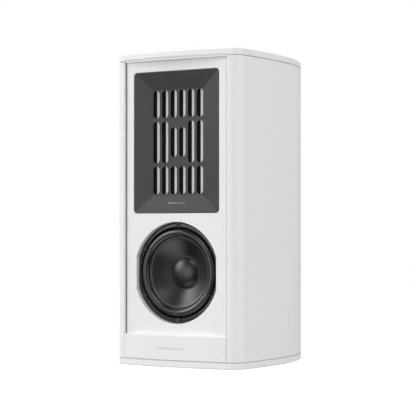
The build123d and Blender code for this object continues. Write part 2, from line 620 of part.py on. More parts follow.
COIL_Y = FRONT + 53.0
with BuildPart() as voice_coil_former:
    turned(
        (CAP_Y + 1.0, FORMER_RADIUS - FORMER_WALL), (CAP_Y + 1.0, FORMER_RADIUS),
        (COIL_Y + 13.0, FORMER_RADIUS), (COIL_Y + 13.0, FORMER_RADIUS - FORMER_WALL),
    )
save(voice_coil_former, "voice_coil_former")

with BuildPart() as voice_coil:
    turned(
        (COIL_Y, FORMER_RADIUS), (COIL_Y, FORMER_RADIUS + 0.6),
        (COIL_Y + 12.0, FORMER_RADIUS + 0.6), (COIL_Y + 12.0, FORMER_RADIUS),
    )
save(voice_coil, "voice_coil")

SPIDER_OUTER = 43.0
with BuildPart() as spider:
    spider_inner = FORMER_RADIUS + 0.1
    rolls = 9
    span = (SPIDER_OUTER - 4 - spider_inner) / rolls
    crests = [
        (SPIDER_Y + (0.9 if index % 2 else -0.9), spider_inner + span * (index + 0.5))
        for index in range(rolls)
    ]
    front_line = [(SPIDER_Y - 0.3, spider_inner), *crests, (SPIDER_Y - 0.3, SPIDER_OUTER - 4)]
    front_line.append((SPIDER_Y - 0.3, SPIDER_OUTER))
    back_line = [(depth + 0.6, radius) for depth, radius in reversed(front_line)]
    turned(*front_line, *back_line)
save(spider, "spider")

with BuildPart() as front_pole_washer:
    turned(
        (BASKET_BACK, 20.6), (BASKET_BACK, 46.0),
        (BASKET_BACK + WASHER_DEPTH, 46.0), (BASKET_BACK + WASHER_DEPTH, 20.6),
    )
save(front_pole_washer, "front_pole_washer")

with BuildPart() as ring_magnet:
    turned(
        (BASKET_BACK + WASHER_DEPTH, 25.0), (BASKET_BACK + WASHER_DEPTH, 50.0),
        (MAGNET_BACK, 50.0), (MAGNET_BACK, 25.0),
    )
    chamfer(ring_magnet.edges().filter_by(GeomType.CIRCLE).group_by(SortBy.RADIUS)[-1], length=1)
save(ring_magnet, "ring_magnet")

with BuildPart() as yoke:
    turned(
        (BASKET_BACK - 0.5, 5.0), (BASKET_BACK - 0.5, 18.4), (MAGNET_BACK, 18.4),
        (MAGNET_BACK, 46.0), (MAGNET_BACK + 6.0, 44.0), (MAGNET_BACK + 6.0, 5.0),
    )
save(yoke, "yoke")

with BuildPart() as woofer_terminals:
    with BuildSketch(facing(BASKET_BACK, WOOFER_Z + 54)) as woofer_tabs:
        with GridLocations(14, 0, 2, 1):
            Rectangle(4.8, 0.8)
    extrude(amount=-9)
    add_block(-12, 12, BASKET_BACK - 3, BASKET_BACK, WOOFER_Z + 47.1, WOOFER_Z + 57)
save(woofer_terminals, "woofer_terminals")


# ======== Rear: port, terminals ========

with BuildPart() as reflex_port:
    flare = 9.0
    port_inner_end = REAR - PORT_LENGTH
    with BuildSketch(Plane(origin=(0, 0, PORT_Z), x_dir=(0, 1, 0), z_dir=(1, 0, 0))) as port_section:
        with BuildLine():
            mouth = RadiusArc((REAR, PORT_RADIUS + flare), (REAR - flare, PORT_RADIUS), flare)
            bore = Line(mouth @ 1, (port_inner_end + 6, PORT_RADIUS))
            inner_flare = RadiusArc(bore @ 1, (port_inner_end, PORT_RADIUS + 6), 6)
            Polyline(
                inner_flare @ 1, (port_inner_end, PORT_RADIUS + 8.5),
                (port_inner_end + 9, PORT_RADIUS + PORT_WALL),
                (REAR - TERMINAL_THICKNESS, PORT_RADIUS + PORT_WALL),
                (REAR - TERMINAL_THICKNESS, PORT_FLANGE_RADIUS), (REAR, PORT_FLANGE_RADIUS), mouth @ 0,
            )
        make_face()
    revolve(axis=axis_at(PORT_Z))
save(reflex_port, "reflex_port")

TERMINAL_BACK = REAR - TERMINAL_THICKNESS
with BuildPart() as terminal_plate:
    with BuildSketch(facing(TERMINAL_BACK, TERMINAL_Z)) as plate_outline:
        RectangleRounded(TERMINAL_SIZE, TERMINAL_SIZE, 4)
        with GridLocations(TERMINAL_SCREW_SPACING, TERMINAL_SCREW_SPACING, 2, 2):
            Circle(TERMINAL_SCREW_RADIUS + 0.1, mode=Mode.SUBTRACT)
        with GridLocations(POST_SPACING, 0, 2, 1):
            Circle(BUSH_RADIUS, mode=Mode.SUBTRACT)
    extrude(amount=-TERMINAL_THICKNESS)
save(terminal_plate, "terminal_plate")

TERMINAL_HEAD_RADIUS = 3.1
TERMINAL_HEAD_HEIGHT = 1.8
with BuildPart() as terminal_screws:
    for radius, start, length in (
        (TERMINAL_HEAD_RADIUS, REAR, TERMINAL_HEAD_HEIGHT),
        (TERMINAL_SCREW_RADIUS, REAR - TERMINAL_SCREW_LENGTH, TERMINAL_SCREW_LENGTH),
    ):
        with BuildSketch(facing(start, TERMINAL_Z)) as screw_ring:
            with GridLocations(TERMINAL_SCREW_SPACING, TERMINAL_SCREW_SPACING, 2, 2):
                Circle(radius)
        extrude(amount=-length)
    with BuildSketch(facing(REAR + TERMINAL_HEAD_HEIGHT, TERMINAL_Z)) as recesses:
        with GridLocations(TERMINAL_SCREW_SPACING, TERMINAL_SCREW_SPACING, 2, 2):
            Rectangle(3.2, 0.8)
            Rectangle(0.8, 3.2)
    extrude(amount=1.2, mode=Mode.SUBTRACT)
save(terminal_screws, "terminal_screws")

COLLAR_BACK = REAR + 2.0
WASHER_THICKNESS = 1.2
KNOB_Y = COLLAR_BACK + WASHER_THICKNESS
KNOB_LENGTH = 17.0
INSERT_RADIUS = 5.0  # to the corners of the hexagonal insert
FLUTE_RADIUS = 0.8
FLUTES = 16
POST_END = KNOB_Y + KNOB_LENGTH - 0.8
for colour, sign in (("red", 1), ("black", -1)):
    post_x = sign * POST_SPACING / 2
    post = Plane(origin=(post_x, REAR, TERMINAL_Z), x_dir=(-1, 0, 0), z_dir=(0, 1, 0))

    with BuildPart() as post_shaft:
        with BuildSketch(post.offset(-POST_INNER_LENGTH)) as shaft_section:
            Circle(POST_RADIUS)
        extrude(amount=POST_END - REAR + POST_INNER_LENGTH)
        with BuildSketch(post.offset(-8)) as nut_section:
            RegularPolygon(5.5, 6)
        extrude(amount=3)
        with BuildSketch(post.offset(POST_END - REAR)) as socket_section:
            Circle(SOCKET_RADIUS)
        extrude(amount=-14, mode=Mode.SUBTRACT)
    save(post_shaft, f"post_shaft_{colour}")

    with BuildPart() as post_collar:
        with BuildSketch(post) as collar_section:
            Circle(KNOB_RADIUS + 0.4)
            Circle(POST_RADIUS, mode=Mode.SUBTRACT)
        extrude(amount=COLLAR_BACK - REAR)
        with BuildSketch(post.offset(-5)) as bush_section:
            Circle(BUSH_RADIUS)
            Circle(POST_RADIUS, mode=Mode.SUBTRACT)
        extrude(amount=5)
    save(post_collar, f"post_collar_{colour}")

    with BuildPart() as clamp_washer:
        with BuildSketch(post.offset(COLLAR_BACK - REAR)) as washer_section:
            Circle(KNOB_RADIUS - 0.6)
            Circle(POST_RADIUS + THREAD_CLEARANCE, mode=Mode.SUBTRACT)
        extrude(amount=WASHER_THICKNESS)
    save(clamp_washer, f"clamp_washer_{colour}")

    with BuildPart() as knob_insert:
        with BuildSketch(post.offset(KNOB_Y - REAR)) as insert_section:
            RegularPolygon(INSERT_RADIUS, 6)
            Circle(POST_RADIUS + THREAD_CLEARANCE, mode=Mode.SUBTRACT)
        extrude(amount=KNOB_LENGTH - 1.0)
    save(knob_insert, f"knob_insert_{colour}")

    with BuildPart() as knob:
        with BuildSketch(post.offset(KNOB_Y - REAR)) as knob_section:
            Circle(KNOB_RADIUS)
        extrude(amount=KNOB_LENGTH)
        chamfer(knob.faces().sort_by(Axis.Y)[-1].edges(), length=1.0)
        with BuildSketch(post.offset(KNOB_Y - REAR)) as knob_cuts:
            RegularPolygon(INSERT_RADIUS, 6)
            with PolarLocations(KNOB_RADIUS + 0.35, FLUTES):
                Circle(FLUTE_RADIUS)
        extrude(amount=KNOB_LENGTH, mode=Mode.SUBTRACT)
    save(knob, f"knob_{colour}")


# ======== Crossover ========

BOARD_WIDTH = 78.0
BOARD_LENGTH = 100.0
BOARD_Y = 26.0
BOARD_Z = 20.0
BOARD_THICKNESS = 1.6
BOARD_HOLE_SPACING = (BOARD_WIDTH - 9.0, BOARD_LENGTH - 9.0)
BOARD_SCREW_RADIUS = 1.5
BOARD_TOP = BOARD_Z + BOARD_THICKNESS

with BuildPart() as crossover_board:
    with BuildSketch(Plane.XY.offset(BOARD_Z)) as board_outline:
        with Locations((0, BOARD_Y)):
            RectangleRounded(BOARD_WIDTH, BOARD_LENGTH, 2)
            with GridLocations(*BOARD_HOLE_SPACING, 2, 2):
                Circle(BOARD_SCREW_RADIUS + 0.2, mode=Mode.SUBTRACT)
    extrude(amount=BOARD_THICKNESS)
save(crossover_board, "crossover_board")

with BuildPart() as board_standoffs:
    with BuildSketch(Plane.XY.offset(SHELL_BOTTOM)) as standoff_section:
        with Locations((0, BOARD_Y)):
            with GridLocations(*BOARD_HOLE_SPACING, 2, 2):
                RegularPolygon(3.6, 6)
    extrude(amount=BOARD_Z - SHELL_BOTTOM)
    with BuildSketch(Plane.XY.offset(BOARD_Z)) as screw_clearance:
        with Locations((0, BOARD_Y)):
            with GridLocations(*BOARD_HOLE_SPACING, 2, 2):
                Circle(BOARD_SCREW_RADIUS + 0.05)
    extrude(amount=-6.5, mode=Mode.SUBTRACT)
save(board_standoffs, "board_standoffs")

with BuildPart() as board_screws:
    for radius, start, length in ((2.9, BOARD_TOP, 2.0), (BOARD_SCREW_RADIUS, BOARD_TOP - 8, 8)):
        with BuildSketch(Plane.XY.offset(start)) as board_screw_section:
            with Locations((0, BOARD_Y)):
                with GridLocations(*BOARD_HOLE_SPACING, 2, 2):
                    Circle(radius)
        extrude(amount=length)
save(board_screws, "board_screws")

INDUCTOR_PLACES = ((-16, BOARD_Y - 28, 15.0, 16.0), (19, BOARD_Y - 30, 11.0, 12.0))
with BuildPart() as inductors:
    for x, y, radius, height in INDUCTOR_PLACES:
        with BuildSketch(Plane.XY.offset(BOARD_TOP)) as winding:
            with Locations((x, y)):
                Circle(radius)
                Circle(radius * 0.45, mode=Mode.SUBTRACT)
        extrude(amount=height)
save(inductors, "inductors")

with BuildPart() as capacitors:
    for x, radius in ((-20.0, 9.0), (3.0, 8.0), (22.0, 6.5)):
        with BuildSketch(facing(BOARD_Y + 28, BOARD_TOP + radius)) as can:
            with Locations((x, 0)):
                Circle(radius)
        extrude(amount=32)
save(capacitors, "capacitors")

with BuildPart() as resistors:
    for x in (-18.0, 12.0):
        add_block(x - 11, x + 11, BOARD_Y + 32, BOARD_Y + 41, BOARD_TOP, BOARD_TOP + 9)
    chamfer(resistors.edges().filter_by(Axis.X), length=0.8)
save(resistors, "resistors")


# ======== Internal wiring ========

WIRE_RADIUS = 1.1
WIRE_BEND = 8.0


def lead(*points):
    """Insulated lead along straight runs joined by arcs; it joins the part being built."""
    with BuildLine() as route:
        FilletPolyline(*points, radius=WIRE_BEND)
    with BuildSketch(Plane(origin=route.line @ 0, z_dir=route.line % 0)) as section:
        Circle(WIRE_RADIUS)
    sweep(sections=section.sketch, path=route.line)


POST_INNER_END = REAR - POST_INNER_LENGTH
with BuildPart() as input_leads:
    for sign in (-1, 1):
        post_x = sign * POST_SPACING / 2
        lead(
            (post_x, POST_INNER_END, TERMINAL_Z), (post_x, 96, TERMINAL_Z),
            (sign * 26, 73.5, 62), (sign * 26, 73.5, BOARD_TOP),
        )
save(input_leads, "input_leads")

TAB_END = BASKET_BACK + 9
with BuildPart() as woofer_leads:
    for sign in (-1, 1):
        lead(
            (sign * 7, TAB_END, WOOFER_Z + 54), (sign * 7, -38, WOOFER_Z + 54),
            (sign * 10, -32, 130), (sign * 12, -21, 60), (sign * 12, -21, BOARD_TOP),
        )
save(woofer_leads, "woofer_leads")

DRIVER_TAB_END = CHAMBER_Y + CHAMBER_DEPTH + 8
with BuildPart() as driver_leads:
    for index in range(4):
        tab_x = 21.0 - 14.0 * index
        landing_y = -6.0 + 8.0 * index
        lead(
            (tab_x, DRIVER_TAB_END, FIELD_Z), (tab_x, -24, FIELD_Z), (tab_x, -16, 262),
            (36, landing_y, 110), (36, landing_y, BOARD_TOP),
        )
save(driver_leads, "driver_leads")
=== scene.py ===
import json
from math import cos, exp, pi, radians, sin, sqrt

import bmesh
import bpy
from mathutils import Matrix, Vector
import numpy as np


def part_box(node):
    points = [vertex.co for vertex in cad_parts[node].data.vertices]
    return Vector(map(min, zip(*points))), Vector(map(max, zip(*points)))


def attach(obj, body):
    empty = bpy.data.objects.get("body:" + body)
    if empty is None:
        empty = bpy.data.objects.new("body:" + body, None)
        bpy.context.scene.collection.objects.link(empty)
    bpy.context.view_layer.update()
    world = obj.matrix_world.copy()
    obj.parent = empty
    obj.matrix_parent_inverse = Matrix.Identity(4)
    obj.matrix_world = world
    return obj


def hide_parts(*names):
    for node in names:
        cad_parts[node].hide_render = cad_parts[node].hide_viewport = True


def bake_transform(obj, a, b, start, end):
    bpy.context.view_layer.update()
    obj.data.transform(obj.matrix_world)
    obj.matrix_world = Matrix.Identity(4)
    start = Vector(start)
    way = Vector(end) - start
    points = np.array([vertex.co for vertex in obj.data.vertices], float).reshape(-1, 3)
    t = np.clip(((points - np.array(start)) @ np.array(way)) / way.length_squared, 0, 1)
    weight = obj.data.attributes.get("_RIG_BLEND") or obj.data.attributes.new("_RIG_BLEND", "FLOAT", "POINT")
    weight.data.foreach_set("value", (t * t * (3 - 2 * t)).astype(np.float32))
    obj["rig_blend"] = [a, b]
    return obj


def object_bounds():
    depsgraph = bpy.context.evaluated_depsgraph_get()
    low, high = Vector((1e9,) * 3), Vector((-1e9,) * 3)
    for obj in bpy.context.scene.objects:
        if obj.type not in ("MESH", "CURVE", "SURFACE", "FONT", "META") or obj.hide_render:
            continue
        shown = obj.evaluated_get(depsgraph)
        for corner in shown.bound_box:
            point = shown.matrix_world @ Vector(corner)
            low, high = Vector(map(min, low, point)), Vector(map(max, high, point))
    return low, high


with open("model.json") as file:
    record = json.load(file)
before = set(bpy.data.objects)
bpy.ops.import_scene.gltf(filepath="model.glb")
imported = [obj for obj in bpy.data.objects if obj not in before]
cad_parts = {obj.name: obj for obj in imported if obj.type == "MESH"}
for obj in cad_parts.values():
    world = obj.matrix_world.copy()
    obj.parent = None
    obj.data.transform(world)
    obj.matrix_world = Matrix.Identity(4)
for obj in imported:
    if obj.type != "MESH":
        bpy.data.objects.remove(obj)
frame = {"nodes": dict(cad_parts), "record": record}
cad_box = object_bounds()
record = frame["record"]
nodes = frame["nodes"]
MM = 0.001


# ======== Node trees ========

class Tree:
    """A material's node tree, with short calls for the nodes that the finishes below share."""

    def __init__(self, name):
        self.material = bpy.data.materials.new(name)
        self.material.use_nodes = True
        self.tree = self.material.node_tree
        self.tree.nodes.clear()
        self.shader = self.add("ShaderNodeBsdfPrincipled")
        output = self.add("ShaderNodeOutputMaterial")
        self.link(self.shader.outputs["BSDF"], output.inputs["Surface"])
        self.where = self.add("ShaderNodeTexCoord").outputs["Object"]

    def add(self, kind, **settings):
        node = self.tree.nodes.new(kind)
        for key, value in settings.items():
            setattr(node, key, value)
        return node

    def link(self, source, target):
        self.tree.links.new(source, target)

    def put(self, target, value):
        """Links a socket, or sets a plain number or colour."""
        if hasattr(value, "links"):
            self.link(value, target)
        else:
            target.default_value = value

    def stretched(self, scale):
        mapping = self.add("ShaderNodeMapping")
        mapping.inputs["Scale"].default_value = scale
        self.link(self.where, mapping.inputs["Vector"])
        return mapping.outputs["Vector"]

    def noise(self, scale, detail=3.0, rough=0.55, vector=None):
        noise = self.add("ShaderNodeTexNoise")
        noise.inputs["Scale"].default_value = scale
        noise.inputs["Detail"].default_value = detail
        noise.inputs["Roughness"].default_value = rough
        self.link(vector or self.where, noise.inputs["Vector"])
        return noise.outputs["Fac"]

    def cells(self, scale, vector):
        cells = self.add("ShaderNodeTexVoronoi", feature="DISTANCE_TO_EDGE")
        cells.inputs["Scale"].default_value = scale
        self.link(vector, cells.inputs["Vector"])
        return cells.outputs["Distance"]

    def wave(self, scale, direction):
        wave = self.add("ShaderNodeTexWave", wave_type="BANDS", bands_direction=direction)
        wave.inputs["Scale"].default_value = scale
        self.link(self.where, wave.inputs["Vector"])
        return wave.outputs["Fac"]

    def span(self, value, low, high, start=0.3, end=0.7):
        """value from start to end comes out as low to high."""
        ranged = self.add("ShaderNodeMapRange")
        for name, number in (("From Min", start), ("From Max", end), ("To Min", low), ("To Max", high)):
            ranged.inputs[name].default_value = number
        self.put(ranged.inputs["Value"], value)
        return ranged.outputs["Result"]

    def math(self, operation, first, second=0.0):
        node = self.add("ShaderNodeMath", operation=operation)
        self.put(node.inputs[0], first)
        self.put(node.inputs[1], second)
        return node.outputs["Value"]

    def mix(self, factor, first, second):
        node = self.add("ShaderNodeMix", data_type="RGBA")
        self.put(node.inputs["Factor"], factor)
        self.put(node.inputs[6], first)
        self.put(node.inputs[7], second)
        return node.outputs[2]

    def rounded(self, radius):
        """The surface's normal with its sharp edges eased over radius."""
        bevel = self.add("ShaderNodeBevel", samples=4)
        bevel.inputs["Radius"].default_value = radius
        return bevel.outputs["Normal"]

    def edges(self, normal):
        """1 along the edges that rounded() eases, 0 on flat surfaces."""
        dot = self.add("ShaderNodeVectorMath", operation="DOT_PRODUCT")
        self.link(normal, dot.inputs[0])
        self.link(self.add("ShaderNodeNewGeometry").outputs["True Normal"], dot.inputs[1])
        turned = self.math("SUBTRACT", 1.0, dot.outputs["Value"])
        return self.span(turned, 0.0, 1.0, start=0.02, end=0.2)

    def split(self, vector):
        parts = self.add("ShaderNodeSeparateXYZ")
        self.link(vector, parts.inputs["Vector"])
        return parts.outputs

    def radius(self, axis_z):
        """Distance from an axis along Y at height axis_z."""
        place = self.split(self.where)
        up = self.math("SUBTRACT", place["Z"], axis_z)
        across = self.math("MULTIPLY", place["X"], place["X"])
        return self.math("SQRT", self.math("ADD", across, self.math("MULTIPLY", up, up)))

    def bump(self, height, depth, normal=None):
        bump = self.add("ShaderNodeBump")
        bump.inputs["Strength"].default_value = 1.0
        bump.inputs["Distance"].default_value = depth
        self.link(height, bump.inputs["Height"])
        if normal is not None:
            self.link(normal, bump.inputs["Normal"])
        return bump.outputs["Normal"]

    def finish(self, colour, roughness, normal, metallic=0.0, specular=0.5, **sockets):
        self.put(self.shader.inputs["Base Color"], colour)
        self.put(self.shader.inputs["Roughness"], roughness)
        if normal is not None:
            self.link(normal, self.shader.inputs["Normal"])
        self.put(self.shader.inputs["Metallic"], metallic)
        self.shader.inputs["Specular IOR Level"].default_value = specular
        for name, value in sockets.items():
            self.shader.inputs[name.replace("_", " ")].default_value = value
        return self.material


def grey(value):
    return (value, value, value, 1.0)


def shade(colour, factor):
    return (*(channel * factor for channel in colour[:3]), 1.0)


# ======== Finishes ========

def lacquer(name, colour, bar=None):
    """Satin sprayed lacquer: faint orange peel, fine haze, softened edges painted a little paler as a
    painted highlight. bar is a printed stripe's half width, low and high z."""
    tree = Tree(name)
    peel = tree.noise(420.0, 2.0, 0.5)
    haze = tree.noise(9.0, 4.0, 0.6)
    dust = tree.noise(2600.0, 1.0, 0.5)
    soft = tree.rounded(0.7 * MM)
    pale_edge_highlight = tree.edges(soft)
    tone = tree.mix(tree.span(haze, 0.0, 1.0), shade(colour, 0.985), colour)
    tone = tree.mix(tree.span(dust, 0.0, 0.35, 0.6, 0.8), tone, shade(colour, 0.96))
    # Painted highlight: the eased edges are painted a little paler.
    tone = tree.mix(tree.math("MULTIPLY", pale_edge_highlight, 0.5), tone, shade(colour, 1.04))
    if bar is not None:
        half_width, low, high = bar
        place = tree.split(tree.where)
        soft_edge = 0.12 * MM
        across = tree.math("ABSOLUTE", place["X"])
        inside = tree.span(across, 1.0, 0.0, half_width - soft_edge, half_width)
        above = tree.span(place["Z"], 0.0, 1.0, low, low + soft_edge)
        below = tree.span(place["Z"], 1.0, 0.0, high - soft_edge, high)
        print_mask = tree.math("MULTIPLY", inside, tree.math("MULTIPLY", above, below))
        ink = tree.span(dust, 0.42, 0.62, 0.3, 0.7)
        tone = tree.mix(tree.math("MULTIPLY", print_mask, ink), tone, shade(colour, 0.72))
    gloss = tree.math("ADD", tree.span(haze, 0.40, 0.46), tree.math("MULTIPLY", pale_edge_highlight, -0.06))
    return tree.finish(tone, gloss, tree.bump(peel, 0.006 * MM, soft), specular=0.5)


def blasted(name, colour, low, high, grain, depth, ease=0.6, edge_wear_highlight_to=2.2, specular=0.5):
    """Blasted or cast metal, painted or anodised: fine grain, patches of gloss, edges paler, partly from
    wear and partly as a painted highlight.
    """
    tree = Tree(name)
    fine = tree.noise(grain, 3.0, 0.65)
    patches = tree.noise(28.0, 4.0, 0.6)
    soft = tree.rounded(ease * MM)
    rub_wear_and_highlight = tree.math("MULTIPLY", tree.edges(soft), tree.span(tree.noise(300.0), 0.35, 1.0))
    tone = tree.mix(tree.span(patches, 0.0, 1.0), shade(colour, 0.88), shade(colour, 1.1))
    tone = tree.mix(tree.span(fine, 0.0, 0.4, 0.55, 0.75), tone, shade(colour, 1.5))
    # Edges painted paler with noise: partly wear from rubbing, partly painted highlight.
    tone = tree.mix(rub_wear_and_highlight, tone, shade(colour, edge_wear_highlight_to))
    gloss = tree.math("ADD", tree.span(patches, low, high), tree.span(fine, -0.03, 0.03))
    return tree.finish(tone, gloss, tree.bump(fine, depth * MM, soft), specular=specular)


def slotted(name, colour, slot_shade):
    """Blasted plate whose slot sides are painted near-black and unreflective as painted shade of the deep
    slots.
    """
    tree = Tree(name)
    fine = tree.noise(2600.0, 3.0, 0.65)
    patches = tree.noise(28.0, 4.0, 0.6)
    facing = tree.split(tree.add("ShaderNodeNewGeometry").outputs["True Normal"])["Y"]
    # Faces turned sideways, the slot sides, are painted near-black and made unreflective: painted shade of
    # the deep slots.
    shaded_sides = tree.span(tree.math("ABSOLUTE", facing), 1.0, 0.0, 0.35, 0.75)
    tone = tree.mix(tree.span(patches, 0.0, 1.0), shade(colour, 0.88), shade(colour, 1.1))
    tone = tree.mix(tree.span(fine, 0.0, 0.4, 0.55, 0.75), tone, shade(colour, 1.5))
    tone = tree.mix(shaded_sides, tone, tree.mix(fine, shade(slot_shade, 0.6), slot_shade))
    gloss = tree.math("ADD", tree.span(patches, 0.36, 0.42), tree.math("MULTIPLY", shaded_sides, 0.4))
    return tree.finish(tone, gloss, tree.bump(fine, 0.012 * MM), shaded_sides, 0.35)


def basket_paint(name, colour, low, high, axis_z, inner):
    """Gloss paint on the woofer's basket; inside radius inner it is painted dull black and unreflective as
    painted shade of the gap between the roll and the flange.
    """
    tree = Tree(name)
    fine = tree.noise(1500.0, 3.0, 0.6)
    patches = tree.noise(40.0, 4.0, 0.6)
    # Inside radius inner the basket is painted dull black and unreflective: painted shade of the gap between
    # the roll and the flange.
    shaded_gap = tree.span(tree.radius(axis_z), 1.0, 0.0, inner - 0.3 * MM, inner)
    tone = tree.mix(tree.span(patches, 0.0, 1.0), shade(colour, 0.88), shade(colour, 1.1))
    tone = tree.mix(tree.span(fine, 0.0, 0.4, 0.55, 0.75), tone, shade(colour, 1.5))
    tone = tree.mix(shaded_gap, tone, shade(colour, 0.4))
    gloss = tree.math("ADD", tree.span(patches, low, high), tree.math("MULTIPLY", shaded_gap, 0.4))
    return tree.finish(tone, gloss, tree.bump(fine, 0.004 * MM, tree.rounded(0.25 * MM)), shaded_gap, 0.8)


def rolled_rubber(name, colour, low, high, axis_z, edge):
    """Moulded rubber of the woofer's roll; outside radius edge it is painted black and unreflective as
    painted shade of the gap next to the flange.
    """
    tree = Tree(name)
    texture = tree.noise(1300.0, 4.0, 0.6)
    marks = tree.noise(60.0, 5.0, 0.65)
    # Outside radius edge the rubber is painted black and unreflective: painted shade of the gap next to the
    # flange.
    shaded_rim = tree.span(tree.radius(axis_z), 0.0, 1.0, edge, edge + 0.3 * MM)
    tone = tree.mix(tree.span(marks, 0.0, 1.0), shade(colour, 0.85), shade(colour, 1.12))
    tone = tree.mix(shaded_rim, tone, shade(colour, 0.25))
    gloss = tree.math("ADD", tree.span(marks, low, high), tree.math("MULTIPLY", shaded_rim, 0.4))
    return tree.finish(tone, gloss, tree.bump(texture, 0.003 * MM), shaded_rim, 0.7)


def moulded(name, colour, low, high, grain=900.0, depth=0.03, ease=0.4, specular=0.5):
    """Moulded plastic or rubber: spark-eroded texture, gloss that varies, edges polished by handling and
    painted paler as a painted highlight.
    """
    tree = Tree(name)
    texture = tree.noise(grain, 4.0, 0.6)
    marks = tree.noise(60.0, 5.0, 0.65)
    soft = tree.rounded(ease * MM)
    polish_and_highlight = tree.edges(soft)
    tone = tree.mix(tree.span(marks, 0.0, 1.0), shade(colour, 0.85), shade(colour, 1.12))
    # Edges painted paler as a painted highlight; their lower roughness is polish from handling.
    tone = tree.mix(tree.math("MULTIPLY", polish_and_highlight, 0.6), tone, shade(colour, 1.6))
    gloss = tree.math("ADD", tree.span(marks, low, high), tree.math("MULTIPLY", polish_and_highlight, -0.12))
    return tree.finish(tone, gloss, tree.bump(texture, depth * MM, soft), specular=specular)


def plated(name, colour, low, high, stretch=(1.0, 1.0, 1.0)):
    """Bare or plated metal: fine turning or drawing lines and faint tarnish."""
    tree = Tree(name)
    lines = tree.noise(700.0, 3.0, 0.6, tree.stretched(stretch))
    stains = tree.noise(90.0, 5.0, 0.6)
    soft = tree.rounded(0.2 * MM)
    tone = tree.mix(tree.span(stains, 0.0, 1.0), shade(colour, 0.75), colour)
    tone = tree.mix(tree.span(lines, 0.0, 0.3), tone, shade(colour, 0.8))
    gloss = tree.math("ADD", tree.span(stains, low, high), tree.span(lines, -0.05, 0.05))
    return tree.finish(tone, gloss, tree.bump(lines, 0.01 * MM, soft), metallic=1.0)


def fibrous(name, colour, low, high, scale, depth, specular=0.5, sheen=0.0):
    """Pressed fibre, felt or board: crossing fibres and cloudy density."""
    tree = Tree(name)
    fibres = tree.noise(scale, 6.0, 0.7)
    strands = tree.cells(scale * 0.8, tree.stretched((1.0, 1.0, 2.5)))
    cloud = tree.noise(45.0, 4.0, 0.6)
    height = tree.math("ADD", fibres, tree.math("MULTIPLY", strands, 0.6))
    tone = tree.mix(tree.span(cloud, 0.0, 1.0), shade(colour, 0.86), shade(colour, 1.12))
    tone = tree.mix(tree.span(fibres, 0.0, 0.5, 0.45, 0.75), tone, shade(colour, 1.45))
    gloss = tree.math("ADD", tree.span(cloud, low, high), tree.span(fibres, -0.04, 0.04))
    return tree.finish(tone, gloss, tree.bump(height, depth * MM), specular=specular, Sheen_Weight=sheen)


def woven(name, colour, scale, low, high):
    """Plain cloth stiffened with resin: two crossed sets of threads."""
    tree = Tree(name)
    warp = tree.wave(scale, "X")
    weft = tree.wave(scale, "Z")
    over = tree.math("MAXIMUM", warp, weft)
    slub = tree.noise(500.0, 3.0)
    tone = tree.mix(over, shade(colour, 0.5), shade(colour, 1.15))
    tone = tree.mix(tree.span(slub, 0.0, 0.5), tone, shade(colour, 0.7))
    return tree.finish(tone, tree.span(slub, low, high), tree.bump(over, 0.05 * MM), Sheen_Weight=0.2)


def ribbon(name, colour, painted_light_strength):
    """Etched aluminium foil on film: vertical traces a little apart, lightly crinkled, pale and soft, and
    giving off painted light.
    """
    tree = Tree(name)
    traces = tree.wave(99.522, "X")
    crinkle = tree.noise(160.0, 4.0, 0.6, tree.stretched((1.0, 1.0, 0.35)))
    gap = tree.span(traces, 1.0, 0.0, 0.06, 0.14)
    tone = tree.mix(tree.span(crinkle, 0.0, 1.0), shade(colour, 0.93), colour)
    tone = tree.mix(tree.math("MULTIPLY", gap, 0.4), tone, (0.42, 0.34, 0.24, 1.0))
    gloss = tree.span(crinkle, 0.45, 0.6)
    material = tree.finish(tone, gloss, tree.bump(crinkle, 0.05 * MM), metallic=0.25)
    # The foil gives off painted light through its emission.
    tree.link(tone, tree.shader.inputs["Emission Color"])
    tree.shader.inputs["Emission Strength"].default_value = painted_light_strength
    return material


def board(name, colour):
    """Glass-fibre circuit board under solder mask, with the weave just showing."""
    tree = Tree(name)
    weave = tree.math("MULTIPLY", tree.wave(180.0, "X"), tree.wave(180.0, "Y"))
    mottle = tree.noise(70.0, 4.0)
    tone = tree.mix(weave, shade(colour, 0.85), shade(colour, 1.2))
    tone = tree.mix(tree.span(mottle, 0.0, 0.3), tone, shade(colour, 0.7))
    return tree.finish(tone, tree.span(mottle, 0.25, 0.4), tree.bump(weave, 0.01 * MM))


def wound(name, colour, scale):
    """Enamelled copper wire in close turns."""
    tree = Tree(name)
    turns = tree.wave(scale, "Z")
    streaks = tree.noise(400.0, 3.0)
    tone = tree.mix(turns, shade(colour, 0.45), colour)
    tone = tree.mix(tree.span(streaks, 0.0, 0.4), tone, shade(colour, 0.75))
    return tree.finish(tone, tree.span(streaks, 0.22, 0.36), tree.bump(turns, 0.12 * MM), metallic=0.85)


